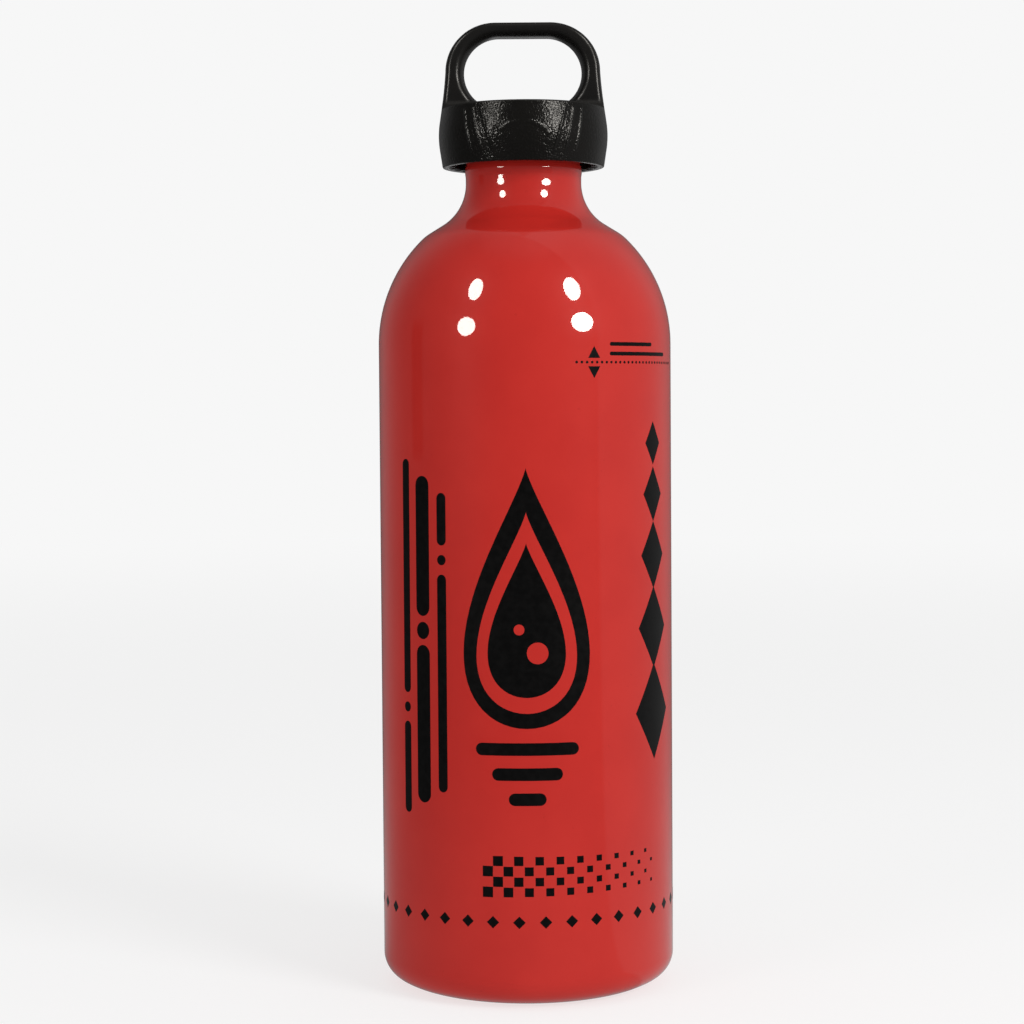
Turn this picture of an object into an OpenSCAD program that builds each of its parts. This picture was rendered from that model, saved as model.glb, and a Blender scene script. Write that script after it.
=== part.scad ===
// Camping fuel bottle: a one-piece drawn aluminium bottle with an internally
// threaded neck, closed by a push-and-turn cap with a carry loop.
// Millimetres. +Z is up the bottle's axis, X runs across the carry loop.
// The origin is the centre of the flat standing ring under the base.

/* [Bottle] */
// Outside diameter of the straight wall
body_d = 73; // [71:0.5:76]
// Height at which the straight wall ends and the shoulder begins
wall_top = 161; // [110:1:210]
// Thickness of the drawn wall
wall_t = 1; // [0.8:0.1:1.2]
// Outside radius of the corner between wall and base
base_corner = 9; // [8:0.5:10]
// Rise of the domed floor above the standing ring
dome_h = 3.2; // [2:0.1:4]
// Outside radius of the shoulder arc
shoulder_r = 33.5; // [32:0.5:34]
// Outside diameter of the neck
neck_d = 28.8; // [28.6:0.1:29.2]
// Radius of the hollow curve between shoulder and neck
neck_fillet = 11.7; // [11:0.1:12.5]
// Length of the straight neck above that curve
neck_len = 8.5; // [8:0.1:10]

/* [Thread] */
// Diameter of the neck bore, which is the root of the inside thread
bore_d = 24.9; // [24.7:0.1:25]
// Rise of the thread in one turn
pitch = 3; // [2.8:0.1:3]
// Height of the thread ridge
ridge_h = 1; // [0.8:0.1:1]
// Gap between the ridge's crest and the opposite root
thread_gap = 0.25; // [0.2:0.05:0.3]

/* [Stopper] */
// Length of the threaded plug below the flange
plug_len = 12.8; // [12:0.1:13]
// Thickness of the flange that covers the mouth
flange_t = 2; // [1.8:0.1:2.2]
// Diameter of the flange
flange_d = 35; // [34.8:0.1:35.2]
// Diameter of the spring well in the plug
well_d = 18; // [17:0.5:18.5]
// Height of the sealing ring as it sits squeezed on the mouth
seal_h = 2; // [1.8:0.1:2.2]

/* [Cap] */
// Diameter of the skirt at its lower rim
rim_d = 40.1; // [39.9:0.1:40.4]
// Diameter of the skirt at its widest
wide_d = 42.1; // [41.6:0.1:42.4]
// Diameter of the skirt at its top edge
top_d = 40.2; // [40:0.1:40.6]
// Inside diameter of the skirt
skirt_bore = 36; // [35.8:0.1:36.2]
// Number of ribs round the inside of the skirt
rib_count = 24; // [12:1:30]
// Number of slanted finger ribs on each side of the front and the back
grip_ribs = 3; // [0:1:3]

/* [Push and turn] */
// Travel of the cap when it is pushed down
press_travel = 2; // [1.6:0.1:2]
// Number of drive dogs on the stopper and on the cap
dogs = 8; // [4:4:8]
// Height of each dog
dog_h = 1.6; // [1.4:0.1:1.6]
// Width of each dog, in degrees round the axis
dog_angle = 18; // [12:1:20]

/* [Carry loop] */
// Height of the loop above the cap's deck
loop_h = 21.2; // [20:0.1:24]
// Front-to-back depth of the loop
loop_depth = 9; // [7:0.5:11]
// Corner radius of the loop's opening
hole_r = 8.8; // [8:0.1:9]
// Half the length of the opening's straight top and bottom
hole_flat = 5.9; // [5:0.1:6]

/* [Spring] */
// Wire thickness of the return spring
wire_d = 0.8; // [0.6:0.1:0.9]
// Mean diameter of the coil
coil_d = 13; // [11:0.5:14]
// Number of turns
coil_turns = 5; // [4:1:6]

/* [Hidden] */
$fn = 96;

body_r = body_d / 2;
neck_r = neck_d / 2;
bore_r = bore_d / 2;

// The shoulder arc's centre and the neck curve's centre. The two arcs touch,
// so the height of the neck curve follows from the radii.
sh_x = body_r - shoulder_r;
nf_x = neck_r + neck_fillet;
nf_z = wall_top + sqrt(pow(shoulder_r + neck_fillet, 2) - pow(nf_x - sh_x, 2));
// Where the two arcs touch. The shoulder's disc is drawn 3 mm past this height,
// which changes nothing, as it lies behind the hollow curve there.
touch_z = wall_top + (nf_z - wall_top) * shoulder_r / (shoulder_r + neck_fillet);
// The same for the inside, one wall further in
in_r = shoulder_r - wall_t;
in_fillet = 12;
if_x = bore_r + in_fillet;
if_z = wall_top + sqrt(pow(in_r + in_fillet, 2) - pow(if_x - sh_x, 2));
in_touch_z = wall_top + (if_z - wall_top) * in_r / (in_r + in_fillet);
mouth_z = nf_z + neck_len;
// The neck's top 5 mm is a little wider, where its end is worked over
collar_r = neck_r + 0.6;
collar_z = mouth_z - 5.2;

// Standing ring and the dome inside it
ring_r = body_r - base_corner;
dome_edge = ring_r - 3.3;
dome_r = (dome_edge * dome_edge + dome_h * dome_h) / (2 * dome_h);
floor_t = 1.5;

// Heights of the closure's parts, from the mouth up
flange_z = mouth_z + seal_h + 0.04;
flange_top = flange_z + flange_t;
dog_top = flange_top + dog_h;
lug_z = flange_top + press_travel + 0.4;
deck_under = dog_top + press_travel + 0.4;
deck_z = deck_under + 1.96;
rim_z = deck_z - 14.4;
plug_z = flange_z - plug_len;
plug_root = bore_r - ridge_h - thread_gap;
seat_z = plug_z + 2.2;
loop_top = deck_z + loop_h;
hole_z = deck_z + 0.1 + hole_r;

enamel = [0.76, 0.16, 0.13];
black = [0.09, 0.085, 0.08];

// ---- thread ridge -------------------------------------------------------
// One helical ridge of trapezoid section. r0 is its foot, buried in the
// wall that carries it, and r1 its crest. z0 is the middle of the ridge at
// angle 0, and the two ends taper to nothing over a quarter turn.
steps = 36;
function fade(i, n) = min(1, min(i, n - i) / (steps / 4));
function ridge_ring(i, n, r0, r1, z0) =
    let (a = 360 * i / steps, z = z0 + pitch * i / steps,
         f = max(0.02, fade(i, n)), rc = r0 + (r1 - r0) * f,
         foot = 0.30 * pitch * (0.5 + 0.5 * f) / 2 + 0.25, crest = 0.12 * pitch * (0.5 + 0.5 * f))
    [[r0 * cos(a), r0 * sin(a), z - foot], [rc * cos(a), rc * sin(a), z - crest],
     [rc * cos(a), rc * sin(a), z + crest], [r0 * cos(a), r0 * sin(a), z + foot]];
module ridge(turns, r0, r1, z0) {
    n = round(turns * steps);
    pts = [for (i = [0:n]) each ridge_ring(i, n, r0, r1, z0)];
    out = r1 > r0;
    side = [for (i = [0:n - 1], k = [0:3])
        let (a = 4 * i + k, b = 4 * i + (k + 1) % 4, c = b + 4, d = a + 4)
        each (out ? [[a, b, c], [a, c, d]] : [[a, c, b], [a, d, c]])];
    ends = out ? [[3, 2, 1], [3, 1, 0], [4 * n, 4 * n + 1, 4 * n + 2], [4 * n, 4 * n + 2, 4 * n + 3]]
               : [[1, 2, 3], [0, 1, 3], [4 * n + 2, 4 * n + 1, 4 * n], [4 * n + 3, 4 * n + 2, 4 * n]];
    polyhedron(points = pts, faces = concat(side, ends), convexity = 6);
}

// ---- bottle -------------------------------------------------------------
// Half section of everything inside the outer surface
module body_outer_2d() {
    translate([0, base_corner]) square([body_r, wall_top - base_corner]);
    intersection() {
        translate([ring_r, base_corner]) circle(r = base_corner);
        square([body_r, base_corner + 1]);
    }
    square([ring_r, base_corner + 0.5]);
    intersection() {
        translate([sh_x, wall_top]) circle(r = shoulder_r);
        translate([0, wall_top - 2]) square([body_r, touch_z - wall_top + 5]);
    }
    translate([0, wall_top - 2]) square([sh_x + 1, touch_z - wall_top + 5]);
    difference() {
        translate([0, touch_z]) square([nf_x, nf_z - touch_z]);
        translate([nf_x, nf_z]) circle(r = neck_fillet);
    }
    translate([0, nf_z - 2]) square([neck_r, neck_len]);
    polygon([[0, collar_z - 0.8], [neck_r, collar_z - 0.8], [collar_r, collar_z],
        [collar_r, mouth_z - 0.5], [0, mouth_z - 0.5]]);
    translate([0, mouth_z - 2]) square([collar_r - 0.5, 2]);
    translate([collar_r - 0.5, mouth_z - 0.5]) circle(r = 0.5);
}

// Half section of the cavity, with the chamfered way in at the mouth
module body_inner_2d() {
    translate([0, base_corner]) square([body_r - wall_t, wall_top - base_corner]);
    difference() {
        union() {
            intersection() {
                translate([ring_r, base_corner]) circle(r = base_corner - wall_t);
                square([body_r, base_corner + 1]);
            }
            translate([0, wall_t]) square([ring_r, base_corner]);
        }
        translate([0, dome_h - dome_r]) circle(r = dome_r + floor_t);
    }
    intersection() {
        translate([sh_x, wall_top]) circle(r = in_r);
        translate([0, wall_top - 2]) square([body_r, in_touch_z - wall_top + 5]);
    }
    translate([0, wall_top - 2]) square([sh_x + 1, in_touch_z - wall_top + 5]);
    difference() {
        translate([0, in_touch_z]) square([if_x, if_z - in_touch_z]);
        translate([if_x, if_z]) circle(r = in_fillet);
    }
    translate([0, if_z - 2]) square([bore_r, mouth_z - if_z + 3]);
    polygon([[0, mouth_z - 0.6], [bore_r, mouth_z - 0.6], [bore_r + 1.1, mouth_z + 0.5], [0, mouth_z + 0.5]]);
}

module bottle_body() {
    color(enamel) {
        rotate_extrude() difference() {
            body_outer_2d();
            body_inner_2d();
            translate([0, dome_h - dome_r]) circle(r = dome_r);
        }
        // the inside thread, two and three quarter turns, starting below the mouth
        ridge(2.75, bore_r + 0.6, bore_r - ridge_h, mouth_z - 10.2 + pitch / 2);
    }
}

// ---- sealing ring, squeezed between the flange and the mouth -------------
module mouth_seal() {
    color([0.13, 0.13, 0.13])
    rotate_extrude() translate([bore_r + 0.1, mouth_z + 0.02]) {
        translate([0, 0.4]) square([1.6, seal_h - 0.8]);
        translate([0.4, 0]) square([0.8, seal_h]);
        for (x = [0.4, 1.2], z = [0.4, seal_h - 0.4]) translate([x, z]) circle(r = 0.4);
    }
}

// ---- stopper: hollow threaded plug with a flange and drive dogs ----------
module stopper() {
    color([0.12, 0.115, 0.11]) {
        difference() {
            union() {
                rotate_extrude() difference() {
                    polygon([[0, plug_z], [plug_root - 1, plug_z], [plug_root, plug_z + 1],
                        [plug_root, flange_z - 0.5], [plug_root + 0.5, flange_z], [flange_d / 2, flange_z],
                        [flange_d / 2, flange_top - 0.4], [flange_d / 2 - 0.4, flange_top], [0, flange_top]]);
                    translate([0, seat_z]) square([well_d / 2, 40]);
                }
                // guide skirt round the outside of the neck
                rotate_extrude() translate([collar_r + 0.4, flange_z - 4.4]) square([1.1, 4.6]);
            }
            // pip at the middle of the plug's closed end
            translate([0, 0, plug_z - 1]) cylinder(r = 2, h = 1.6);
        }
        ridge(2.75, plug_root - 0.5, plug_root + ridge_h, mouth_z - 10.2);
        for (i = [0:dogs - 1])
            rotate([0, 0, i * 360 / dogs - dog_angle / 2])
                rotate_extrude(angle = dog_angle) translate([13, flange_top - 0.2]) square([3.4, dog_h + 0.2]);
    }
}

// ---- return spring in the plug's well, pushing the cap up ----------------
spring_z0 = seat_z + wire_d / 2 + 0.05;
spring_z1 = deck_under - wire_d / 2 - 0.05;
sp_steps = 24;
sp_sides = 8;
module return_spring() {
    n = coil_turns * sp_steps;
    pts = [for (i = [0:n]) let (a = 360 * i / sp_steps,
            z = spring_z0 + (i < sp_steps ? wire_d * 1.06 * i / sp_steps
                : i > n - sp_steps ? (spring_z1 - spring_z0) - wire_d * 1.06 * (n - i) / sp_steps
                : wire_d * 1.06 + (spring_z1 - spring_z0 - 2.12 * wire_d) * (i - sp_steps) / (n - 2 * sp_steps)))
        for (k = [0:sp_sides - 1]) let (b = 360 * (k + 0.5) / sp_sides, r = coil_d / 2 + wire_d / 2 * cos(b))
            [r * cos(a), r * sin(a), z + wire_d / 2 * sin(b)]];
    faces = concat(
        [for (i = [0:n - 1], k = [0:sp_sides - 1])
            let (a = sp_sides * i + k, b = sp_sides * i + (k + 1) % sp_sides, c = b + sp_sides, d = a + sp_sides)
            each [[a, b, c], [a, c, d]]],
        [[for (k = [sp_sides - 1:-1:0]) k]], [[for (k = [0:sp_sides - 1]) sp_sides * n + k]]);
    color([0.72, 0.72, 0.74]) polyhedron(points = pts, faces = faces, convexity = 8);
}

// ---- cap: barrel-shaped skirt, deck and carry loop in one moulding -------
wide_z = rim_z + 7.4;
// Half section of the skirt's outside, a cone up to the widest ring and a
// cone back in to the deck, with a soft knee and soft edges
module skirt_2d() {
    polygon([[0, rim_z], [rim_d / 2 - 0.5, rim_z], [rim_d / 2, rim_z + 0.5], [wide_d / 2 - 0.09, wide_z - 1.0],
        [wide_d / 2, wide_z - 0.1], [wide_d / 2, wide_z + 0.3], [wide_d / 2 - 0.1, wide_z + 1.3],
        [top_d / 2, deck_z - 0.9], [top_d / 2 - 0.25, deck_z - 0.3], [top_d / 2 - 0.8, deck_z], [0, deck_z]]);
}
// Outline of the loop seen from the front
loop_r = 11;
loop_c = top_d / 2 - 11.87;
module loop_2d() {
    for (s = [-1, 1]) translate([s * loop_c, loop_top - loop_r]) circle(r = loop_r);
    translate([-loop_c, deck_z - 1]) square([2 * loop_c, loop_top - deck_z + 1]);
    polygon([[-top_d / 2 + 0.08, deck_z - 1], [top_d / 2 - 0.08, deck_z - 1],
        [loop_c + loop_r, loop_top - loop_r], [-loop_c - loop_r, loop_top - loop_r]]);
}
module hole_2d() {
    for (s = [-1, 1]) translate([s * hole_flat, hole_z]) circle(r = hole_r);
    translate([-hole_flat, hole_z - hole_r]) square([2 * hole_flat, 2 * hole_r]);
}
module loop() {
    intersection() {
        rotate([90, 0, 0]) linear_extrude(loop_depth, center = true) difference() {
            loop_2d();
            hole_2d();
        }
        // keeps the loop's sides round, as the skirt is
        translate([0, 0, deck_z - 1]) cylinder(r1 = top_d / 2, r2 = top_d / 2 - 0.4, h = loop_h + 2);
    }
    // feet that carry the loop's sides into the deck
    for (s = [-1, 1]) intersection() {
        difference() {
            translate([s * 16.6, 0, deck_z + 0.4]) cube([7.4, loop_depth + 5, 2.8], center = true);
            for (t = [-1, 1]) translate([s * 16.6, t * (loop_depth / 2 + 3), deck_z + 3]) rotate([0, 90, 0])
                cylinder(r = 3, h = 12, center = true);
            rotate([90, 0, 0]) linear_extrude(loop_depth + 12, center = true) hole_2d();
        }
        translate([0, 0, deck_z - 1]) cylinder(r1 = top_d / 2, r2 = top_d / 2 - 0.2, h = 6);
    }
}

// A point by radius, azimuth and height, sunk a little under the skirt
function on_skirt(r, a, z) = [(r - 0.2) * cos(a), (r - 0.2) * sin(a), z];
// A round bar from one point to another
module bar(p, q, r) {
    v = q - p;
    translate(p) rotate([0, acos(v[2] / norm(v)), atan2(v[1], v[0])]) cylinder(r = r, h = norm(v));
}

module cap_shell() {
    color(black) {
        difference() {
            union() {
                rotate_extrude() skirt_2d();
                loop();
            }
            // the hollow that takes the stopper
            translate([0, 0, rim_z - 1]) cylinder(r = skirt_bore / 2, h = deck_under - rim_z + 1);
            translate([0, 0, rim_z - 0.01]) cylinder(r1 = skirt_bore / 2 + 0.7, r2 = skirt_bore / 2, h = 0.9);
        }
        // slanted finger ribs, which lean towards the middle of the front and
        // the back on their way down
        if (grip_ribs > 0)
            for (h = [-90, 90], s = [-1, 1], i = [0:grip_ribs - 1]) let (a = 30 + 7 * i)
                for (e = [[on_skirt(top_d / 2 + 0.17, h + s * a, deck_z - 1.3), on_skirt(wide_d / 2 + 0.02, h + s * (a - 4.7), wide_z - 0.2)],
                          [on_skirt(wide_d / 2 + 0.02, h + s * (a - 4.7), wide_z + 0.2), on_skirt(rim_d / 2 + 0.16, h + s * (a - 9), rim_z + 1.9)]])
                    bar(e[0], e[1], 0.5);
        // lugs under the deck that drop between the stopper's dogs when pushed
        for (i = [0:dogs - 1])
            rotate([0, 0, (i + 0.5) * 360 / dogs - dog_angle / 2])
                rotate_extrude(angle = dog_angle) translate([13, lug_z]) square([3.4, deck_under - lug_z + 0.2]);
        // spigot that centres the spring
        translate([0, 0, deck_under - 1.6]) difference() {
            cylinder(r = coil_d / 2 - wire_d / 2 - 0.3, h = 1.8);
            translate([0, 0, -1]) cylinder(r = coil_d / 2 - wire_d / 2 - 1.5, h = 2.6);
        }
        // bead that snaps under the stopper's flange, and the ribs that stiffen it
        rotate_extrude() polygon([[skirt_bore / 2 + 0.2, flange_z - 2.1], [16.9, flange_z - 1.0],
            [16.9, flange_z - 0.4], [17.2, flange_z - 0.06], [skirt_bore / 2 + 0.2, flange_z - 0.06]]);
        for (i = [0:rib_count - 1]) rotate([0, 0, i * 360 / rib_count])
            translate([16.9, -0.4, rim_z + 1.1]) cube([skirt_bore / 2 - 16.7, 0.8, flange_z - 0.6 - rim_z - 1.1]);
    }
}

bottle_body();
mouth_seal();
stopper();
return_spring();
cap_shell();
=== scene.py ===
import bpy
import bmesh
import math
import numpy as np
from mathutils import Matrix, Quaternion, Vector

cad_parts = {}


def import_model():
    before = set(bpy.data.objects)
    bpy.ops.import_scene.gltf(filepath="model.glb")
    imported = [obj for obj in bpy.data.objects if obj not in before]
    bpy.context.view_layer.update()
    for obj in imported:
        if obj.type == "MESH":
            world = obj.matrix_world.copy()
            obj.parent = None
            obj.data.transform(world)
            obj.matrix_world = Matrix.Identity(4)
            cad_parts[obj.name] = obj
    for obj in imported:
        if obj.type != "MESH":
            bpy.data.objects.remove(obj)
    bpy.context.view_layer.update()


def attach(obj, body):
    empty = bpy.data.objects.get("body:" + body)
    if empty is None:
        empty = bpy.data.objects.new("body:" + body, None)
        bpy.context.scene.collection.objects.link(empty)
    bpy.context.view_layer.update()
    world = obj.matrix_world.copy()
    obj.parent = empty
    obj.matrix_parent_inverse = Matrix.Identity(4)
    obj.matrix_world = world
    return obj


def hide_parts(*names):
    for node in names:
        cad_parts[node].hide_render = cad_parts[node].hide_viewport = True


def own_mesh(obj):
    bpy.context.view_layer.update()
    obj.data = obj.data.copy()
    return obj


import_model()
scene = bpy.context.scene
MM = 0.001

# Heights and radii of the frame, in millimetres
WALL_R, WALL_TOP, CORNER = 36.5, 161.0, 9.0
COLLAR_R, MOUTH_Z = 14.25, 208.35
# inside of the shoulder and of the neck, two arcs that touch
SH_X, BORE_R, IF_R, IF_X, IN_R = 3.0, 12.45, 12.0, 24.45, 32.5
IF_Z = WALL_TOP + math.sqrt((IN_R + IF_R) ** 2 - (IF_X - SH_X) ** 2)
# outside of the shoulder, from the wall up: a long arc, a tighter bend, a short cone, and the hollow at the neck
DOME_Z, DOME_R, DOME_A = 159.935, 36.632, 45.318
BEND_R, CONE_A, CONE_L, NECK_HOLLOW = 11.655, 58.172, 3.956, 12.266
FLANGE_Z, FLANGE_TOP, PLUG_Z, SEAT_Z = 210.39, 212.39, 197.59, 199.79
RIM_Z, DECK_UNDER, DECK_TOP = 203.95, 216.39, 218.6


# ---------------------------------------------------------------- shader help
def new_material(name):
    m = bpy.data.materials.new(name)
    m.use_nodes = True
    nt = m.node_tree
    nt.nodes.clear()
    out = nt.nodes.new("ShaderNodeOutputMaterial")
    bsdf = nt.nodes.new("ShaderNodeBsdfPrincipled")
    nt.links.new(bsdf.outputs["BSDF"], out.inputs["Surface"])
    return m, nt, bsdf


def put(nt, kind, values=None, **attrs):
    n = nt.nodes.new(kind)
    for k, v in attrs.items():
        setattr(n, k, v)
    for k, v in (values or {}).items():
        if isinstance(v, bpy.types.NodeSocket):
            nt.links.new(v, n.inputs[k])
        else:
            n.inputs[k].default_value = v
    return n


def math_node(nt, op, a, b=0.0, c=None, clamp=False):
    n = nt.nodes.new("ShaderNodeMath")
    n.operation = op
    n.use_clamp = clamp
    for i, v in enumerate([a, b] + ([c] if c is not None else [])):
        if isinstance(v, bpy.types.NodeSocket):
            nt.links.new(v, n.inputs[i])
        else:
            n.inputs[i].default_value = v
    return n.outputs[0]


def ramp(nt, value, lo, hi, a=0.0, b=1.0, smooth=True):
    n = nt.nodes.new("ShaderNodeMapRange")
    n.interpolation_type = "SMOOTHSTEP" if smooth else "LINEAR"
    n.clamp = True
    nt.links.new(value, n.inputs["Value"])
    for k, v in (("From Min", lo), ("From Max", hi), ("To Min", a), ("To Max", b)):
        n.inputs[k].default_value = v
    return n.outputs["Result"]


def mix_color(nt, factor, a, b):
    n = nt.nodes.new("ShaderNodeMix")
    n.data_type = "RGBA"
    n.clamp_factor = True
    sockets = [s for s in n.inputs if s.type == "RGBA"]
    fac = n.inputs[0]
    for s, v in ((fac, factor), (sockets[0], a), (sockets[1], b)):
        if isinstance(v, bpy.types.NodeSocket):
            nt.links.new(v, s)
        else:
            s.default_value = v if s is fac else (*v, 1.0)
    return [s for s in n.outputs if s.type == "RGBA"][0]


def object_coords(nt):
    return nt.nodes.new("ShaderNodeTexCoord").outputs["Object"]


def noise(nt, coords, scale, detail=3.0, rough=0.5, distortion=0.0):
    return put(nt, "ShaderNodeTexNoise", {"Vector": coords, "Scale": scale, "Detail": detail,
                                          "Roughness": rough, "Distortion": distortion}).outputs["Fac"]


def bump(nt, height, strength, distance, normal=None):
    values = {"Height": height, "Strength": strength, "Distance": distance}
    if normal is not None:
        values["Normal"] = normal
    return put(nt, "ShaderNodeBump", values).outputs["Normal"]


# ------------------------------------------------------------------ materials
def enamel():
    m, nt, b = new_material("red_enamel")
    co = object_coords(nt)
    z = put(nt, "ShaderNodeSeparateXYZ", {"Vector": co}).outputs["Z"]
    cloud = noise(nt, co, 45.0, 4.0, 0.55)
    fine = noise(nt, co, 900.0, 2.0, 0.6)
    red = mix_color(nt, ramp(nt, cloud, 0.3, 0.7), (0.560, 0.0235, 0.0175), (0.600, 0.0275, 0.0200))
    # tiny darker flecks in the coat
    fleck = ramp(nt, fine, 0.70, 0.76, 0.0, 0.25)
    red = mix_color(nt, fleck, red, (0.40, 0.014, 0.011))
    # worn through to metal on the standing ring and rubbed at the end of the neck
    scuff = noise(nt, co, 420.0, 5.0, 0.7)
    low = ramp(nt, z, 0.00001, 0.00032, 1.0, 0.0)
    top = ramp(nt, z, 0.2078, 0.2083, 0.0, 0.9)
    worn = ramp(nt, math_node(nt, "ADD", math_node(nt, "MULTIPLY", math_node(nt, "MAXIMUM", low, top), 0.75), scuff),
                1.02, 1.24)
    color = mix_color(nt, worn, red, (0.62, 0.61, 0.60))
    nt.links.new(color, b.inputs["Base Color"])
    nt.links.new(math_node(nt, "MULTIPLY", worn, 0.9), b.inputs["Metallic"])
    rough = math_node(nt, "ADD", ramp(nt, noise(nt, co, 160.0, 3.0), 0.3, 0.7, 0.30, 0.37),
                      math_node(nt, "MULTIPLY", worn, 0.12))
    nt.links.new(rough, b.inputs["Roughness"])
    b.inputs["IOR"].default_value = 1.5
    b.inputs["Specular IOR Level"].default_value = 0.03
    b.inputs["Coat Weight"].default_value = 1.0
    b.inputs["Coat Roughness"].default_value = 0.03
    b.inputs["Coat IOR"].default_value = 1.5
    # orange peel of the sprayed coat over the slow waves of the drawn wall
    peel = noise(nt, co, 330.0, 1.5, 0.45)
    wave = noise(nt, co, 75.0, 1.0, 0.4)
    n1 = bump(nt, wave, 1.0, 0.00002)
    n2 = bump(nt, peel, 1.0, 0.0000065, n1)
    nt.links.new(n2, b.inputs["Normal"])
    nt.links.new(n2, b.inputs["Coat Normal"])
    return m


def bare_metal(name="bare_aluminium", tone=0.78, rough=0.30):
    m, nt, b = new_material(name)
    co = object_coords(nt)
    stretch = put(nt, "ShaderNodeMapping", {"Vector": co, "Scale": (30.0, 30.0, 2600.0)}).outputs["Vector"]
    lines = noise(nt, stretch, 1.0, 3.0, 0.6)
    spots = noise(nt, co, 260.0, 4.0, 0.6)
    grey = mix_color(nt, ramp(nt, lines, 0.3, 0.7), (tone * 0.90, tone * 0.90, tone * 0.89), (tone, tone * 0.995, tone * 0.985))
    grey = mix_color(nt, ramp(nt, spots, 0.52, 0.72, 0.0, 0.35), grey, (tone * 0.66, tone * 0.65, tone * 0.62))
    nt.links.new(grey, b.inputs["Base Color"])
    b.inputs["Metallic"].default_value = 1.0
    nt.links.new(ramp(nt, lines, 0.25, 0.75, rough - 0.05, rough + 0.10), b.inputs["Roughness"])
    nt.links.new(bump(nt, lines, 0.6, 0.000012), b.inputs["Normal"])
    return m


def ink():
    m, nt, b = new_material("print_ink")
    co = object_coords(nt)
    mottle = noise(nt, co, 600.0, 4.0, 0.6)
    nt.links.new(mix_color(nt, ramp(nt, mottle, 0.35, 0.7), (0.0022, 0.0021, 0.0021), (0.0040, 0.0037, 0.0037)),
                 b.inputs["Base Color"])
    nt.links.new(ramp(nt, mottle, 0.3, 0.7, 0.30, 0.40), b.inputs["Roughness"])
    b.inputs["IOR"].default_value = 1.48
    b.inputs["Specular IOR Level"].default_value = 0.04
    b.inputs["Coat Weight"].default_value = 0.20
    b.inputs["Coat Roughness"].default_value = 0.06
    nt.links.new(bump(nt, mottle, 0.5, 0.00001), b.inputs["Normal"])
    return m


def cap_plastic():
    m, nt, b = new_material("black_plastic")
    co = object_coords(nt)
    z = put(nt, "ShaderNodeSeparateXYZ", {"Vector": co}).outputs["Z"]
    # 1 on the skirt and the deck, 0 on the carry loop
    skirt = ramp(nt, z, 0.2186, 0.2208, 1.0, 0.0)
    grain = noise(nt, co, 2300.0, 0.5, 0.5)
    soft = noise(nt, co, 700.0, 2.0, 0.5)
    cloud = noise(nt, co, 90.0, 3.0)
    tone = mix_color(nt, ramp(nt, cloud, 0.3, 0.7), (0.0050, 0.0046, 0.0039), (0.0066, 0.0060, 0.0052))
    tone = mix_color(nt, math_node(nt, "MULTIPLY", skirt, ramp(nt, grain, 0.5, 0.75, 0.0, 0.6)), tone,
                     (0.0090, 0.0083, 0.0074))
    # painted sheen: the carry loop gets a lighter tone than the same plastic on the skirt, so that its lit top shows
    # brighter
    tone = mix_color(nt, skirt, (0.0098, 0.0091, 0.0085), tone)
    nt.links.new(tone, b.inputs["Base Color"])
    # satin side, smoother loop, matt deck
    deck = math_node(nt, "MULTIPLY", ramp(nt, z, 0.2181, 0.2185), skirt)
    finish = math_node(nt, "ADD", ramp(nt, soft, 0.3, 0.7, 0.17, 0.21), ramp(nt, skirt, 0.0, 1.0, 0.07, 0.0))
    matt = math_node(nt, "ADD", math_node(nt, "MULTIPLY", deck, 0.65), ramp(nt, z, 0.2384, 0.2392, 0.0, 0.35))
    nt.links.new(math_node(nt, "ADD", finish, matt), b.inputs["Roughness"])
    b.inputs["IOR"].default_value = 1.48
    b.inputs["Specular IOR Level"].default_value = 0.19
    rough_part = math_node(nt, "MULTIPLY", grain, ramp(nt, z, 0.2186, 0.2208, 1.0, 0.10))
    n1 = bump(nt, rough_part, 1.0, 0.00010)
    n2 = bump(nt, soft, 0.5, 0.000012, n1)
    nt.links.new(n2, b.inputs["Normal"])
    return m


def moulded(name, dark, light, lo, hi, scale=700.0, depth=0.00002):
    m, nt, b = new_material(name)
    co = object_coords(nt)
    grain = noise(nt, co, scale, 4.0, 0.6)
    cloud = noise(nt, co, 110.0, 3.0)
    tone = mix_color(nt, ramp(nt, cloud, 0.3, 0.7), dark, light)
    nt.links.new(tone, b.inputs["Base Color"])
    nt.links.new(ramp(nt, grain, 0.3, 0.7, lo, hi), b.inputs["Roughness"])
    nt.links.new(bump(nt, grain, 0.6, depth), b.inputs["Normal"])
    b.inputs["IOR"].default_value = 1.5
    return m


def wire_steel():
    m, nt, b = new_material("spring_steel")
    co = object_coords(nt)
    streak = noise(nt, co, 1500.0, 3.0, 0.6)
    nt.links.new(mix_color(nt, ramp(nt, streak, 0.35, 0.7), (0.50, 0.50, 0.51), (0.66, 0.66, 0.67)), b.inputs["Base Color"])
    b.inputs["Metallic"].default_value = 1.0
    nt.links.new(ramp(nt, streak, 0.3, 0.7, 0.18, 0.32), b.inputs["Roughness"])
    nt.links.new(bump(nt, streak, 0.4, 0.000008), b.inputs["Normal"])
    return m


RED, METAL, INK, BLACK = enamel(), bare_metal(), ink(), cap_plastic()
STOPPER = moulded("stopper_plastic", (0.011, 0.0105, 0.010), (0.017, 0.016, 0.0155), 0.36, 0.46)
RUBBER = moulded("seal_rubber", (0.013, 0.013, 0.013), (0.022, 0.022, 0.022), 0.62, 0.78, 900.0, 0.00004)
STEEL = wire_steel()


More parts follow.
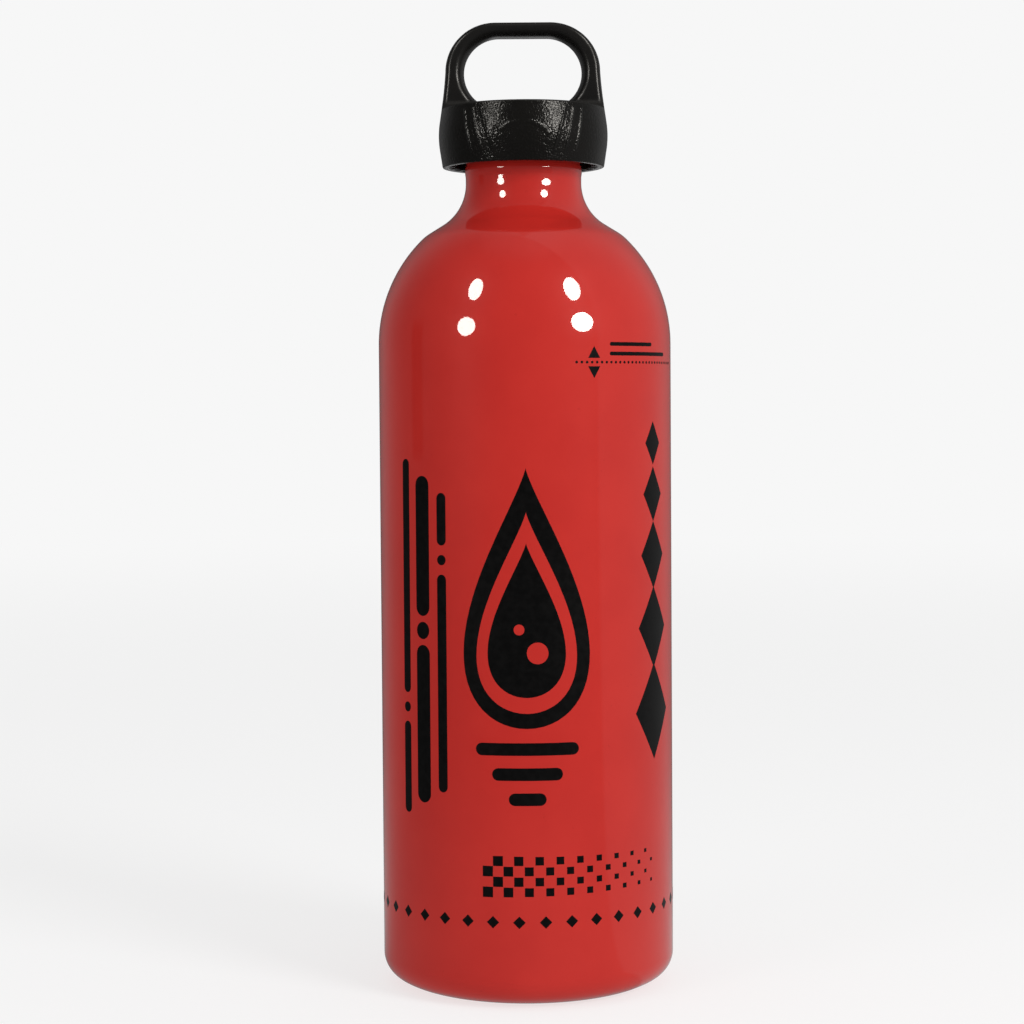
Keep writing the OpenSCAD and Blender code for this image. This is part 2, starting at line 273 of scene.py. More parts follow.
# ----------------------------------------------------------------- mesh tools
def make_object(name, verts, faces, mats, face_mats=None, sharp=40.0, smooth=True):
    me = bpy.data.meshes.new(name)
    me.from_pydata([tuple(v) for v in np.asarray(verts, float) * MM], [], [tuple(f) for f in faces])
    for m in mats:
        me.materials.append(m)
    if face_mats is not None:
        me.polygons.foreach_set("material_index", np.asarray(face_mats, np.int32))
    me.validate()
    if smooth:
        me.polygons.foreach_set("use_smooth", np.ones(len(me.polygons), bool))
        if sharp:
            me.set_sharp_from_angle(angle=math.radians(sharp))
    me.update()
    ob = bpy.data.objects.new(name, me)
    scene.collection.objects.link(ob)
    return ob


def arc(cx, cz, r, a0, a1, n):
    return [(cx + r * math.cos(math.radians(a0 + (a1 - a0) * i / n)),
             cz + r * math.sin(math.radians(a0 + (a1 - a0) * i / n))) for i in range(n + 1)]


def line(p, q, n=1):
    return [(p[0] + (q[0] - p[0]) * i / n, p[1] + (q[1] - p[1]) * i / n) for i in range(n + 1)]


def tidy(points):
    """The points of a profile, without repeats."""
    out = [points[0]]
    for p in points[1:]:
        if math.hypot(p[0] - out[-1][0], p[1] - out[-1][1]) > 1e-4:
            out.append(p)
    return out


def lathe(profile, n):
    """Vertices and faces of a profile of (r, z) turned about the axis. Ends at r = 0 close in a point. Faces come row by row."""
    verts, rows = [], []
    cs = [(math.cos(2 * math.pi * k / n), math.sin(2 * math.pi * k / n)) for k in range(n)]
    for r, z in profile:
        if r < 1e-6:
            rows.append([len(verts)] * n)
            verts.append((0.0, 0.0, z))
        else:
            rows.append(list(range(len(verts), len(verts) + n)))
            verts.extend((r * c, r * s, z) for c, s in cs)
    faces, row_of, col_of = [], [], []
    for i in range(len(rows) - 1):
        a, b = rows[i], rows[i + 1]
        for k in range(n):
            j = (k + 1) % n
            if a[0] == a[1]:
                f = (a[0], b[j], b[k])
            elif b[0] == b[1]:
                f = (a[k], a[j], b[0])
            else:
                f = (a[k], a[j], b[j], b[k])
            faces.append(f)
            row_of.append(i)
            col_of.append(k)
    return verts, faces, row_of, col_of


def joined(parts):
    """One list of vertices and faces from several."""
    verts, faces = [], []
    for v, f in parts:
        base = len(verts)
        verts.extend(v)
        faces.extend(tuple(i + base for i in q) for q in f)
    return verts, faces


def ridge(turns, r0, r1, z0, pitch=3.0, steps=96):
    """A helical ridge with rounded crests that fades out at both ends."""
    n = round(turns * steps)
    out = r1 > r0
    rings = []
    for i in range(n + 1):
        a = 2 * math.pi * i / steps
        z = z0 + pitch * i / steps
        f = max(0.02, min(1.0, min(i, n - i) / (steps / 4)))
        rc = r0 + (r1 - r0) * f
        foot = 0.30 * pitch * (0.5 + 0.5 * f) / 2 + 0.25
        crest = 0.12 * pitch * (0.5 + 0.5 * f)
        prof = [(r0, -foot), (r0 + (rc - r0) * 0.55, -foot * 0.45 - crest * 0.55), (r0 + (rc - r0) * 0.9, -crest * 0.92),
                (rc, -crest * 0.55), (rc, crest * 0.55), (r0 + (rc - r0) * 0.9, crest * 0.92),
                (r0 + (rc - r0) * 0.55, foot * 0.45 + crest * 0.55), (r0, foot)]
        rings.append([(r * math.cos(a), r * math.sin(a), z + d) for r, d in prof])
    m = len(rings[0])
    verts = [p for ring in rings for p in ring]
    faces = []
    for i in range(n):
        for k in range(m):
            a, b = m * i + k, m * i + (k + 1) % m
            q = (a, b, b + m, a + m)
            faces.append(q if not out else q[::-1])
    first, last = tuple(range(m)), tuple(range(m * n, m * n + m))
    faces += [first[::-1], last] if not out else [first, last[::-1]]
    return verts, faces


def sector(r0, r1, a0, a1, z0, z1, n=8, c=0.25):
    """A block between two radii and two angles, with its upper edges chamfered."""
    verts, faces = [], []
    am = c / ((r0 + r1) / 2)
    section = [(r0, z0, 0), (r1, z0, 0), (r1, z1 - c, 0), (r1 - c, z1, 1), (r0 + c, z1, 1), (r0, z1 - c, 0)]
    for i in range(n + 1):
        for r, z, top in section:
            t = i / n
            a = a0 + (a1 - a0) * t
            if top:
                a = (a0 + am) + (a1 - a0 - 2 * am) * t
            verts.append((r * math.cos(a), r * math.sin(a), z))
    m = len(section)
    for i in range(n):
        for k in range(m):
            a, b = m * i + k, m * i + (k + 1) % m
            faces.append((a, a + m, b + m, b))
    faces += [tuple(range(m)), tuple(range(m * n, m * n + m))[::-1]]
    return verts, faces


# --------------------------------------------------------------------- bottle
def bottle():
    t_in = math.degrees(math.atan2(IF_Z - WALL_TOP, IF_X - SH_X))
    dome_r = (24.2 ** 2 + 3.2 ** 2) / 6.4
    dome_z = 3.2 - dome_r
    outer = [(r, dome_z + math.sqrt(dome_r ** 2 - r * r)) for r in np.linspace(0, 23.6, 15)]
    outer += [(24.0, 0.055), (24.4, 0.012), (24.9, 0.0), (25.4, 0.0), (25.9, 0.0)]
    # the foot: a flat sweep out from the standing ring, then a tight corner into the wall
    outer += arc(26.05, 14.5, 14.5, -90, -60, 14)
    foot_z = 14.5 - 8.1 * math.sin(math.radians(60))
    outer += arc(WALL_R - 6.4, foot_z, 6.4, -60, 0, 22)
    # short steps next to each arc keep the shading true where curve meets straight
    outer += [(WALL_R, foot_z + 0.25)] + line((WALL_R, foot_z + 1), (WALL_R, DOME_Z - 1), 22) + [(WALL_R, DOME_Z - 0.25)]
    outer += arc(WALL_R - DOME_R, DOME_Z, DOME_R, 0, DOME_A, 38)
    a, b = math.radians(DOME_A), math.radians(CONE_A)
    r, z = outer[-1]
    outer += arc(r - BEND_R * math.cos(a), z - BEND_R * math.sin(a), BEND_R, DOME_A, CONE_A, 9)
    r, z = outer[-1]
    outer += [(r - t * math.sin(b), z + t * math.cos(b)) for t in (0.3, 1.2, 2.4, 3.4, CONE_L)]
    r, z = outer[-1]
    outer += arc(r + NECK_HOLLOW * math.cos(b), z + NECK_HOLLOW * math.sin(b), NECK_HOLLOW, 180 + CONE_A, 180, 26)
    neck_r, z = outer[-1]
    outer += [(neck_r, z + 0.3), (neck_r + 0.01, z + 0.9)]
    outer += [(neck_r + 0.17 * t * t * (3 - 2 * t), 201.1 + 1.7 * t) for t in np.linspace(0.1, 1, 8)]
    # a slow round in, and a slightly narrower collar above it that goes up inside the cap
    outer += arc(neck_r + 0.18 - 5.5, 202.85, 5.5, 0, 15, 9)
    outer += [(COLLAR_R + 0.04, 204.55), (COLLAR_R, 204.75), (COLLAR_R, 205.1), (COLLAR_R, 206.5), (COLLAR_R, MOUTH_Z - 0.6)]
    outer += arc(COLLAR_R - 0.5, MOUTH_Z - 0.5, 0.5, 0, 90, 6)
    outer = tidy(outer)
    inner = [(COLLAR_R - 0.5, MOUTH_Z), (13.2, MOUTH_Z), (13.02, MOUTH_Z - 0.05), (12.5, MOUTH_Z - 0.55), (BORE_R, MOUTH_Z - 0.65)]
    inner += line((BORE_R, MOUTH_Z - 0.65), (BORE_R, IF_Z), 2)
    inner += arc(IF_X, IF_Z, IF_R, 180, 180 + t_in, 12)
    inner += arc(SH_X, WALL_TOP, IN_R, t_in, 0, 22)
    inner += line((35.5, WALL_TOP), (35.5, CORNER), 6)
    inner += arc(27.5, CORNER, CORNER - 1, 0, -90, 12)
    inner += [(26.2, 1.0)]
    inner += [(r, dome_z + math.sqrt((dome_r + 1.5) ** 2 - r * r)) for r in np.linspace(25.6, 0, 9)]
    inner = tidy(inner)
    profile = outer + inner[1:]
    n = 256
    verts, faces, rows, cols = lathe(profile, n)
    mats = [0 if r < len(outer) - 1 else 1 for r in rows]
    ob = make_object("bottle", verts, faces, [RED, METAL], mats, sharp=0)
    # one unwrapped band round the axis, the outside taking most of its height
    seg = [math.hypot(profile[i + 1][0] - profile[i][0], profile[i + 1][1] - profile[i][1]) * (1.0 if i < len(outer) - 1 else 0.12)
           for i in range(len(profile) - 1)]
    v = np.concatenate([[0], np.cumsum(seg)])
    v = 0.002 + 0.996 * v / v[-1]
    uv = ob.data.uv_layers.new(name="OFBake")
    co = np.zeros(len(ob.data.loops) * 2, np.float32)
    li = 0
    for f, r, k in zip(faces, rows, cols):
        u0, u1 = 0.002 + 0.996 * k / n, 0.002 + 0.996 * (k + 1) / n
        if len(f) == 4:
            pts = [(u0, v[r]), (u1, v[r]), (u1, v[r + 1]), (u0, v[r + 1])]
        elif r == 0:
            pts = [((u0 + u1) / 2, v[r]), (u1, v[r + 1]), (u0, v[r + 1])]
        else:
            pts = [(u0, v[r]), (u1, v[r]), ((u0 + u1) / 2, v[r + 1])]
        for p in pts:
            co[2 * li], co[2 * li + 1] = p
            li += 1
    uv.data.foreach_set("uv", co)
    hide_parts("bottle_body")
    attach(ob, "bottle")
    verts, faces = ridge(2.75, BORE_R + 0.6, BORE_R - 1.0, MOUTH_Z - 10.2 + 1.5)
    th = make_object("neck_thread", verts, faces, [METAL], sharp=60)
    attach(th, "bottle")
    return ob


# ---------------------------------------------------------------------- print
def flat_fill(loops):
    cu = bpy.data.curves.new("fill", "CURVE")
    cu.dimensions = "2D"
    cu.fill_mode = "BOTH"
    for pts in loops:
        sp = cu.splines.new("POLY")
        sp.points.add(len(pts) - 1)
        for p, (x, y) in zip(sp.points, pts):
            p.co = (x, y, 0, 1)
        sp.use_cyclic_u = True
    ob = bpy.data.objects.new("fill", cu)
    scene.collection.objects.link(ob)
    bpy.context.view_layer.update()
    me = bpy.data.meshes.new_from_object(ob.evaluated_get(bpy.context.evaluated_depsgraph_get()))
    bpy.data.objects.remove(ob)
    bpy.data.curves.remove(cu)
    return me


def wrap(name, shapes, radius=WALL_R, top=0.03, under=0.05, step=1.5):
    """A thin printed layer round the wall. Each shape is a list of loops of (u, v): u along the wall from the middle of the front, v the height."""
    bm = bmesh.new()
    for loops in shapes:
        me = flat_fill(loops)
        bm.from_mesh(me)
        bpy.data.meshes.remove(me)
    bmesh.ops.remove_doubles(bm, verts=bm.verts, dist=1e-4)
    us = [p.co.x for p in bm.verts]
    k = math.floor(min(us) / step) + 1
    while k * step < max(us):
        bmesh.ops.bisect_plane(bm, geom=bm.verts[:] + bm.edges[:] + bm.faces[:], dist=1e-5,
                               plane_co=(k * step, 0, 0), plane_no=(1, 0, 0))
        k += 1
    bm.normal_update()
    for f in bm.faces:
        if f.normal.z < 0:
            f.normal_flip()
    bm.verts.index_update()
    flat = [(p.co.x, p.co.y) for p in bm.verts]
    tops = [[p.index for p in f.verts] for f in bm.faces]
    edges = {}
    for f in tops:
        for i in range(len(f)):
            a, b = f[i], f[(i + 1) % len(f)]
            edges[(a, b)] = edges.get((a, b), 0) + 1
    rim = [(a, b) for a, b in edges if (b, a) not in edges]
    bm.free()
    n = len(flat)

    def at(r):
        return [(r * math.sin(u / radius), -r * math.cos(u / radius), v) for u, v in flat]

    verts = at(radius + top) + at(radius - under)
    faces = tops + [[i + n for i in f[::-1]] for f in tops] + [[b, a, a + n, b + n] for a, b in rim]
    ob = make_object(name, verts, faces, [INK], sharp=35)
    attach(ob, "bottle")
    return ob


def rect(u0, u1, v0, v1):
    return [[(u0, v0), (u1, v0), (u1, v1), (u0, v1)]]


def bar_round(u0, u1, v0, v1):
    r = min(u1 - u0, v1 - v0) / 2
    if u1 - u0 > v1 - v0:
        pts = arc(u1 - r, v0 + r, r, -90, 90, 10) + arc(u0 + r, v0 + r, r, 90, 270, 10)
    else:
        pts = arc(u0 + r, v1 - r, r, 0, 180, 10) + arc(u0 + r, v0 + r, r, 180, 360, 10)
    return [tidy(pts)]


def circle(u, v, r, n=32):
    return [(u + r * math.cos(2 * math.pi * i / n), v + r * math.sin(2 * math.pi * i / n)) for i in range(n)]


def diamond(u, v, a, b):
    return [[(u + a, v), (u, v + b), (u - a, v), (u, v - b)]]


def drop(u, v, half_w, half_h, n=72):
    """Outline of a hanging drop, its point up."""
    peak = max(math.sin(t) * math.sin(t / 2) ** 1.5 for t in np.linspace(0.01, math.pi, 400))
    pts = []
    for i in range(n):
        t = 2 * math.pi * i / n
        w = math.sin(t) * abs(math.sin(t / 2)) ** 1.5 / peak
        pts.append((u - half_w * w, v + half_h * math.cos(t)))
    return pts


def front_motif(u, v):
    """A fuel drop within a drop, with three bars under it."""
    shapes = [[drop(u, v, 15.5, 31), drop(u, v - 3.4, 12.2, 24.0)],
              [drop(u, v - 5.2, 9.4, 18.4), circle(u + 2.6, v - 13.0, 2.6), circle(u - 1.8, v - 7.4, 1.3)]]
    for i, w in enumerate((12.5, 8.5, 4.5)):
        shapes.append(bar_round(u - w, u + w, v - 37.4 - 6.0 * i, v - 34.4 - 6.0 * i))
    return shapes


def stripes(u, v0, v1):
    """Three upright pinstripes, each broken at another height."""
    shapes = []
    for i, (du, w, cut) in enumerate(((0.0, 1.3, 0.30), (6.0, 2.2, 0.52), (12.0, 1.3, 0.72))):
        c = v0 + (v1 - v0) * cut
        shapes.append(bar_round(u + du - w, u + du + w, v0 + 3.0 * i, c - 3.5))
        shapes.append(bar_round(u + du - w, u + du + w, c + 3.5, v1 - 4.0 * i))
        shapes.append([circle(u + du, c, w * 0.95, 20)])
    return shapes


def fill_mark(u0, u1, v):
    shapes = []
    k = u0
    while k < u1:
        shapes.append([circle(k, v, 0.33, 12)])
        k += 1.35
    shapes.append([[(u0 + 3.0, v + 1.0), (u0 + 6.2, v + 1.0), (u0 + 4.6, v + 3.8)]])
    shapes.append([[(u0 + 3.0, v - 1.0), (u0 + 4.6, v - 3.8), (u0 + 6.2, v - 1.0)]])
    shapes.append(bar_round(u0 + 9.0, u0 + 31.0, v + 1.6, v + 2.5))
    shapes.append(bar_round(u0 + 9.0, u0 + 24.0, v + 3.9, v + 4.8))
    return shapes


def checker(u0, v0, cols, rows, s):
    shapes = []
    for i in range(cols):
        for j in range(rows):
            if (i + j) % 2 == 0:
                t = i / max(cols - 1, 1)
                h = s * (0.5 - 0.34 * t)
                cu, cv = u0 + s * (i + 0.5), v0 + s * (j + 0.5)
                shapes.append([[(cu - h, cv - h), (cu + h, cv - h), (cu + h, cv + h), (cu - h, cv + h)]])
    return shapes


def prints():
    half = math.pi * WALL_R
    for tag, off in (("front", 0.0), ("back", half)):
        wrap("print_drop_" + tag, front_motif(off + 0.0, 99.0))
        wrap("print_stripes_" + tag, stripes(off - 33.5, 46.0, 132.0))
        wrap("print_diamonds_" + tag, [diamond(off + 37.0, 70.0 + d, a, a * 1.55) for d, a in
                                       ((0.0, 7.6), (20.6, 6.4), (38.2, 5.3), (53.0, 4.3), (65.4, 3.4))])
        wrap("print_fill_" + tag, fill_mark(off + 12.5, off + 50.0, 154.9))
        wrap("print_checker_" + tag, checker(off - 11.0, 27.6, 19, 4, 2.5))
    full = 2 * math.pi * WALL_R
    wrap("print_dots", [diamond(-half + 1.0 + full * (i + 0.5) / 36, 21.6, 1.5, 1.5) for i in range(36)])


# ------------------------------------------------------------------------ cap
def smax(a, b, k):
    h = np.maximum(k - np.abs(a - b), 0.0) / k
    return np.maximum(a, b) + h * h * (k * 0.25)


def smin(a, b, k):
    return -smax(-a, -b, k)


def step01(a, b, x):
    t = np.clip((x - a) / (b - a), 0.0, 1.0)
    return t * t * (3 - 2 * t)


def cap_field(x, y, z):
    """Distance to the cap's surface in millimetres, negative inside."""
    r = np.hypot(x, y)
    az = np.where(y < 0, np.arctan2(x, -y), np.arctan2(-x, y))
    u = 20.6 * az
    # barrel-shaped side: a cone out, a cone in, running on up the loop's sides
    low = 20.42 + 0.152 * (z - 205.8)
    high = 20.43 - 0.147 * (z - 217.7)
    leg_r = 19.3 + 0.062 * (227.7 - z)
    side = smin(low, smax(high, leg_r, 0.4), 1.0)
    # slanted finger ribs and a raised turning arrow
    rise = np.zeros_like(r)
    fade = step01(204.9, 208.4, z) * (1 - step01(216.4, 217.9, z))
    t = (217.3 - z) / 12.1
    for s in (-1, 1):
        for top, bottom in ((30.0, 20.0), (37.0, 28.5), (44.0, 37.0)):
            c = np.radians(s * (top + (bottom - top) * t))
            rise = np.maximum(rise, 0.17 * fade * np.exp(-((20.6 * (az - c)) / 0.30) ** 2))
    arc_d = np.hypot(u, z - 205.3)
    ang = np.degrees(np.arctan2(z - 205.3, u))
    band = np.abs(arc_d - 8.0) - 0.5
    band = np.maximum(band, np.maximum(38.0 - ang, ang - 138.0) * 0.14)
    # the arrow's head at the left end of the arc
    ha = math.radians(141.0)
    hx, hz = 8.0 * math.cos(ha), 205.3 + 8.0 * math.sin(ha)
    tx, tz = -math.sin(ha), math.cos(ha)
    along = (u - hx) * tx + (z - hz) * tz
    across = np.abs((u - hx) * -tz + (z - hz) * tx)
    head = np.maximum(across - 0.62 * (1.9 - along), -1.1 - along)
    rise = np.maximum(rise, 0.12 * step01(0.25, -0.2, np.minimum(band, head)))
    side = side + rise
    env = (r - side) * 0.989
    cx, cz, rr = 19.3 - 11.8, 227.7, 11.8
    over = np.where(r > cx, np.hypot(np.maximum(r - cx, 0), np.maximum(z - cz, 0)) - rr, z - (cz + rr))
    env = np.where(z > cz, over, env)
    # carry loop: a slab between two faces with a rounded opening that flares to both faces
    faces = np.abs(y) - 4.5
    dx = np.maximum(np.abs(x) - 5.9, 0.0)
    hole = np.hypot(dx, z - 227.25) - 8.75 - 1.5 * np.clip(np.abs(y) / 4.5, 0, 1.3) ** 2.6
    leg = smax(faces, -hole, 0.9)
    cut = np.maximum(np.abs(x) - 7.6, z - 226.0)
    leg = smax(leg, -cut, 1.0)
    body = smin(z - DECK_TOP, leg, 1.9)
    edge = step01(218.4, 220.6, z)
    body = smax(body, env, 0.45 + 0.75 * edge)
    body = smax(body, RIM_Z - z, 0.3)
    # hollow for the stopper, with a chamfered way in
    hollow = np.maximum(r - 18.0, z - DECK_UNDER)
    mouth = np.maximum((r - (18.6 - 1.0 * (z - RIM_Z))) * 0.71, z - (RIM_Z + 0.6))
    body = smax(body, -np.minimum(hollow, mouth), 0.22)
    # bead that snaps under the flange
    bead = np.maximum(np.maximum(16.9 - r, z - 210.33), np.maximum(r - 18.4, ((16.9 - r) + (209.39 - z) * 1.18) * 0.65))
    # stiffening ribs round the bore
    a24 = np.mod(np.arctan2(y, x) + math.pi / 24, math.pi / 12) - math.pi / 24
    rib = np.maximum(np.abs(r * a24) - 0.42, np.maximum(16.9 - r, np.maximum(r - 18.4, np.maximum(204.2 - z, z - 209.8))))
    # lugs and the spring's spigot under the deck
    a8 = np.mod(np.arctan2(y, x), math.pi / 4) - math.pi / 8
    lug = np.maximum(np.abs(r * a8) - r * math.radians(9.0), np.maximum(np.maximum(13.0 - r, r - 16.4), np.maximum(214.79 - z, z - 217.0)))
    spigot = np.maximum(np.maximum(4.6 - r, r - 5.8), np.maximum(214.79 - z, z - 217.0))
    inner = np.minimum(np.minimum(bead, rib), np.minimum(lug, spigot))
    return smin(body, inner, 0.35)


def surface_net(field, lo, hi, h):
    """Quad mesh of the field's zero surface, its vertices pulled onto it."""
    ax = [np.arange(lo[i], hi[i] + h, h) for i in range(3)]
    shape = tuple(len(a) for a in ax)
    f = np.empty(shape, np.float32)
    for i in range(0, shape[0], 16):
        X, Y, Z = np.meshgrid(ax[0][i:i + 16], ax[1], ax[2], indexing="ij")
        f[i:i + 16] = field(X, Y, Z)
    s = f < 0
    c = np.zeros(tuple(n - 1 for n in shape), np.int8)
    corners = [(i, j, k) for i in (0, 1) for j in (0, 1) for k in (0, 1)]
    for i, j, k in corners:
        c += s[i:shape[0] - 1 + i, j:shape[1] - 1 + j, k:shape[2] - 1 + k]
    mixed = (c > 0) & (c < 8)
    cells = np.argwhere(mixed)
    index = np.full(c.shape, -1, np.int64)
    index[mixed] = np.arange(len(cells))
    acc, cnt = np.zeros((len(cells), 3)), np.zeros(len(cells))
    for a in corners:
        for axis in range(3):
            if a[axis]:
                continue
            b = list(a)
            b[axis] = 1
            fa = f[tuple((cells + a).T)].astype(float)
            fb = f[tuple((cells + b).T)].astype(float)
            cross = (fa < 0) != (fb < 0)
            t = np.where(cross, fa / np.where(cross, fa - fb, 1.0), 0.0)
            p = np.array(a, float)[None, :].repeat(len(cells), 0)
            p[:, axis] += t
            acc += p * cross[:, None]
            cnt += cross
    pts = np.array(lo)[None, :] + h * (cells + acc / cnt[:, None])
    quads = []
    for axis in range(3):
        o1, o2 = [i for i in range(3) if i != axis]
        a = [slice(None)] * 3
        b = [slice(None)] * 3
        a[axis], b[axis] = slice(0, shape[axis] - 1), slice(1, shape[axis])
        change = s[tuple(a)] != s[tuple(b)]
        e = np.argwhere(change)
        e = e[(e[:, o1] > 0) & (e[:, o2] > 0) & (e[:, o1] < shape[o1] - 1) & (e[:, o2] < shape[o2] - 1)]
        inside = s[tuple(e.T)]
        def cell(d1, d2):
            q = e.copy()
            q[:, o1] += d1
            q[:, o2] += d2
            return index[tuple(q.T)]
        q = np.stack([cell(-1, -1), cell(0, -1), cell(0, 0), cell(-1, 0)], 1)
        flip = inside if axis != 1 else ~inside
        q[~flip] = q[~flip][:, ::-1]
        quads.append(q)
    quads = np.concatenate(quads)
    pts, normals = settle(field, pts, h)
    return pts, quads, normals


def gradient(field, p, e=0.02):
    g = np.empty_like(p)
    for i in range(3):
        d = np.zeros(3)
        d[i] = e
        g[:, i] = (field(*(p + d).T) - field(*(p - d).T)) / (2 * e)
    return g


def settle(field, pts, h):
    for _ in range(4):
        g = gradient(field, pts)
        d = field(*pts.T)
        step = d[:, None] * g / np.maximum((g * g).sum(1), 0.2)[:, None]
        length = np.linalg.norm(step, axis=1)
        step *= np.minimum(1.0, 0.5 * h / np.maximum(length, 1e-9))[:, None]
        pts = pts - step
    g = gradient(field, pts)
    return pts, g / np.maximum(np.linalg.norm(g, axis=1), 1e-9)[:, None]


def cap():
    h = 0.36
    pts, quads, normals = surface_net(cap_field, (-22.0, -22.0, 203.4), (22.0, 22.0, 240.2), h)
    me = bpy.data.meshes.new("cap")
    me.from_pydata((pts * MM).tolist(), [], quads.tolist())
    me.materials.append(BLACK)
    me.polygons.foreach_set("use_smooth", np.ones(len(me.polygons), bool))
    me.update()
    me.normals_split_custom_set_from_vertices(normals.tolist())
    ob = bpy.data.objects.new("cap", me)
    scene.collection.objects.link(ob)
    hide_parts("cap_shell")
    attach(ob, "cap")
    print("cap: %d quads" % len(quads))
    return ob


# -------------------------------------------------------------------- closure
def stopper():
    prof = [(0, PLUG_Z + 0.6), (1.7, PLUG_Z + 0.6), (1.95, PLUG_Z + 0.5), (2.15, PLUG_Z), (10.15, PLUG_Z), (10.3, PLUG_Z + 0.06),
            (11.12, PLUG_Z + 0.9), (11.2, PLUG_Z + 1.1), (11.2, FLANGE_Z - 0.6), (11.32, FLANGE_Z - 0.25), (11.75, FLANGE_Z),
            (15.4, FLANGE_Z), (15.4, FLANGE_Z - 4.2), (15.6, FLANGE_Z - 4.4), (16.3, FLANGE_Z - 4.4), (16.5, FLANGE_Z - 4.2),
            (16.5, FLANGE_Z - 0.15), (16.65, FLANGE_Z), (17.3, FLANGE_Z), (17.5, FLANGE_Z + 0.2), (17.5, FLANGE_TOP - 0.4),
            (17.38, FLANGE_TOP - 0.12), (17.1, FLANGE_TOP), (9.4, FLANGE_TOP), (9.12, FLANGE_TOP - 0.12), (9.0, FLANGE_TOP - 0.4),
            (9.0, SEAT_Z + 0.4), (8.88, SEAT_Z + 0.12), (8.6, SEAT_Z), (0, SEAT_Z)]
    v, f, _, _ = lathe(prof, 160)
    parts = [(v, f), ridge(2.75, 10.7, 12.2, MOUTH_Z - 10.2)]
    for i in range(8):
        a = math.radians(45.0 * i)
        parts.append(sector(13.0, 16.4, a - math.radians(9), a + math.radians(9), FLANGE_TOP - 0.2, FLANGE_TOP + 1.6))
    v, f = joined(parts)
    ob = make_object("stopper_plug", v, f, [STOPPER], sharp=32)
    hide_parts("stopper")
    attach(ob, "plug")


def seal():
    z0 = MOUTH_Z + 0.02
    r0, r1, c = BORE_R + 0.1, BORE_R + 1.7, 0.4
    prof = arc(r1 - c, z0 + c, c, -90, 0, 6) + arc(r1 - c, z0 + 2.0 - c, c, 0, 90, 6) + \
        arc(r0 + c, z0 + 2.0 - c, c, 90, 180, 6) + arc(r0 + c, z0 + c, c, 180, 270, 6)
    prof = tidy(prof)
    prof.append(prof[0])
    v, f, _, _ = lathe(prof, 144)
    ob = make_object("mouth_ring", v, f, [RUBBER], sharp=0)
    bm = bmesh.new()
    bm.from_mesh(ob.data)
    bmesh.ops.remove_doubles(bm, verts=bm.verts, dist=1e-7)
    bm.to_mesh(ob.data)
    bm.free()
    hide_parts("mouth_seal")
    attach(ob, "seal")


def spring():
    wire, coil, turns, steps, sides = 0.8, 13.0, 5, 64, 14
    z0, z1 = SEAT_Z + wire / 2 + 0.05, DECK_UNDER - wire / 2 - 0.05
    n = turns * steps
    verts = []
    for i in range(n + 1):
        a = 2 * math.pi * i / steps
        if i < steps:
            z = z0 + wire * 1.06 * i / steps
        elif i > n - steps:
            z = z1 - wire * 1.06 * (n - i) / steps
        else:
            z = z0 + wire * 1.06 + (z1 - z0 - 2.12 * wire) * (i - steps) / (n - 2 * steps)
        end = min(i, n - i)
        w = wire / 2 * (1.0 if end > 1 else 0.82 + 0.18 * end)
        for k in range(sides):
            b = 2 * math.pi * (k + 0.5) / sides
            r = coil / 2 + w * math.cos(b)
            verts.append((r * math.cos(a), r * math.sin(a), z + w * math.sin(b)))
    faces = []
    for i in range(n):
        for k in range(sides):
            a, b = sides * i + k, sides * i + (k + 1) % sides
            faces.append((a, a + sides, b + sides, b))
    faces += [tuple(range(sides)), tuple(range(sides * n, sides * n + sides))[::-1]]
    ob = make_object("coil", verts, faces, [STEEL], sharp=50)
    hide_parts("return_spring")
    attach(ob, "spring")
    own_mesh(ob)


bottle()
prints()
cap()
stopper()
seal()
spring()


# ---------------------------------------------------------------------- stage
def room(nt, x, y):
    """How bright the room is as the gloss sees it, by the direction round the bottle: a pale screen on the right, a dimmer one behind left."""
    az = math_node(nt, "MULTIPLY", math_node(nt, "ARCTAN2", x, math_node(nt, "MULTIPLY", y, -1.0)), 180 / math.pi)
    total = ramp(nt, az, -30.0, 40.0, 0.13, 0.19)
    for lo, hi, a, b in ((56.5, 61.0, 0.0, 0.17), (128.0, 165.0, 0.0, -0.20), (-142.0, -100.0, 0.11, 0.0), (-172.0, -140.0, -0.14, 0.0)):
        total = math_node(nt, "ADD", total, ramp(nt, az, lo, hi, a, b))
    return az, total


